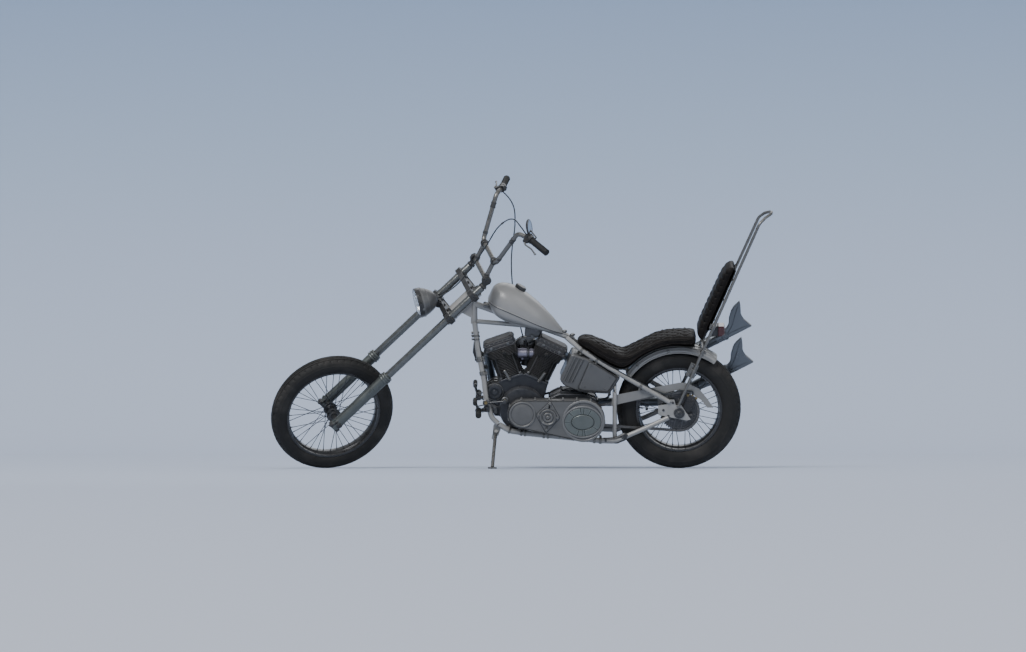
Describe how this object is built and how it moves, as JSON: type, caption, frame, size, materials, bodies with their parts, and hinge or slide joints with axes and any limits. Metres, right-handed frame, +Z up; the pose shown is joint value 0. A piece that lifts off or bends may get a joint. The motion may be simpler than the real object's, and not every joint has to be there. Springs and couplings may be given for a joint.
{
  "type": "chopper motorcycle",
  "caption": "Long-forked chopper motorcycle with rigid frame, high handlebar, tall backrest and side stand; its wheels turn, it steers and the stand folds.",
  "frame": {"origin": "on the floor under the middle of the parked machine, its whole bounding box centred on it", "axes": "+X forward, +Y to the rider's left, the side it leans to, +Z up; the machine stands parked, leaning 13.5 degrees on its side stand with the steering on the left stop"},
  "size_m": [2.678, 0.9289, 1.5684],
  "materials": {
    "frame_paint": "satin light grey",
    "tank_paint": "satin light grey",
    "fork_steel": "dark satin steel",
    "bar_steel": "satin steel",
    "exhaust_steel": "dark blue-grey satin",
    "engine_dark": "dark",
    "engine_alloy": "satin",
    "primary_alloy": "satin",
    "steel": "satin",
    "chain_steel": "oiled",
    "black_parts": "black",
    "tyre": "matt black",
    "rubber": "ribbed black",
    "leather": "near-black brown",
    "lamp_red": "dark red",
    "headlamp": "gloss black",
    "lens": "clear",
    "mirror": "polished"
  },
  "bodies": {
    "frame": {"steering_head": "frame_paint", "backbone": "frame_paint", "front_downtubes": "frame_paint", "lower_rails": "frame_paint", "seat_stays": "frame_paint", "chain_stays": "frame_paint", "rear_axle": "steel", "cross_members": "frame_paint", "crankcase": "engine_dark", "cylinders": "engine_dark", "rocker_boxes": "engine_alloy", "carburettor": "engine_alloy", "transmission": "engine_dark", "primary_cover": "primary_alloy", "oil_tank": "tank_paint", "front_exhaust": "exhaust_steel", "rear_exhaust": "exhaust_steel", "fuel_tank": "tank_paint", "seat": "leather", "rear_fender": "tank_paint", "sissy_bar": "bar_steel", "backrest_pad": "leather", "tail_light": "lamp_red", "drive_chain": "chain_steel", "chain_guard": "bar_steel", "brake_caliper": "black_parts", "foot_controls": "rubber", "throttle_cable": "rubber"},
    "fork": {"front_axle": "steel", "fork_tubes": "fork_steel", "fork_sliders": "fork_steel", "lower_clamp": "fork_steel", "upper_clamp": "fork_steel", "handlebar": "bar_steel", "handlebar_risers": "fork_steel", "handlebar_grips": "rubber", "hand_controls": "black_parts", "headlight": "headlamp", "headlight_cable": "rubber"},
    "front_wheel": {"front_tyre": "tyre", "front_rim": "steel", "front_hub": "engine_alloy", "front_spokes": "steel"},
    "rear_wheel": {"rear_tyre": "tyre", "rear_rim": "steel", "rear_hub": "engine_alloy", "rear_spokes": "steel"},
    "side_stand": {"side_stand": "bar_steel"}
  },
  "joints": [
    {"name": "steering", "type": "hinge", "parent": "frame", "child": "fork", "pos_m": [0.32479, -0.07946, 0.87253], "axis": [-0.7193, 0.1622, 0.6755], "range_deg": [-41.2, 0], "deforming": ["throttle_cable"]},
    {"name": "front_wheel_spin", "type": "hinge", "parent": "fork", "child": "front_wheel", "pos_m": [1.01382, -0.19345, 0.30126], "axis": [-0.2444, 0.8511, -0.4646], "continuous": true},
    {"name": "rear_wheel_spin", "type": "hinge", "parent": "frame", "child": "rear_wheel", "pos_m": [-0.841, -0.211, 0.32462], "axis": [0, 0.9724, -0.2334], "continuous": true},
    {"name": "side_stand_fold", "type": "hinge", "parent": "frame", "child": "side_stand", "pos_m": [0.139, -0.09125, 0.18943], "axis": [-0.1885, 0.7181, 0.6699], "range_deg": [0, 88]}
  ]
}
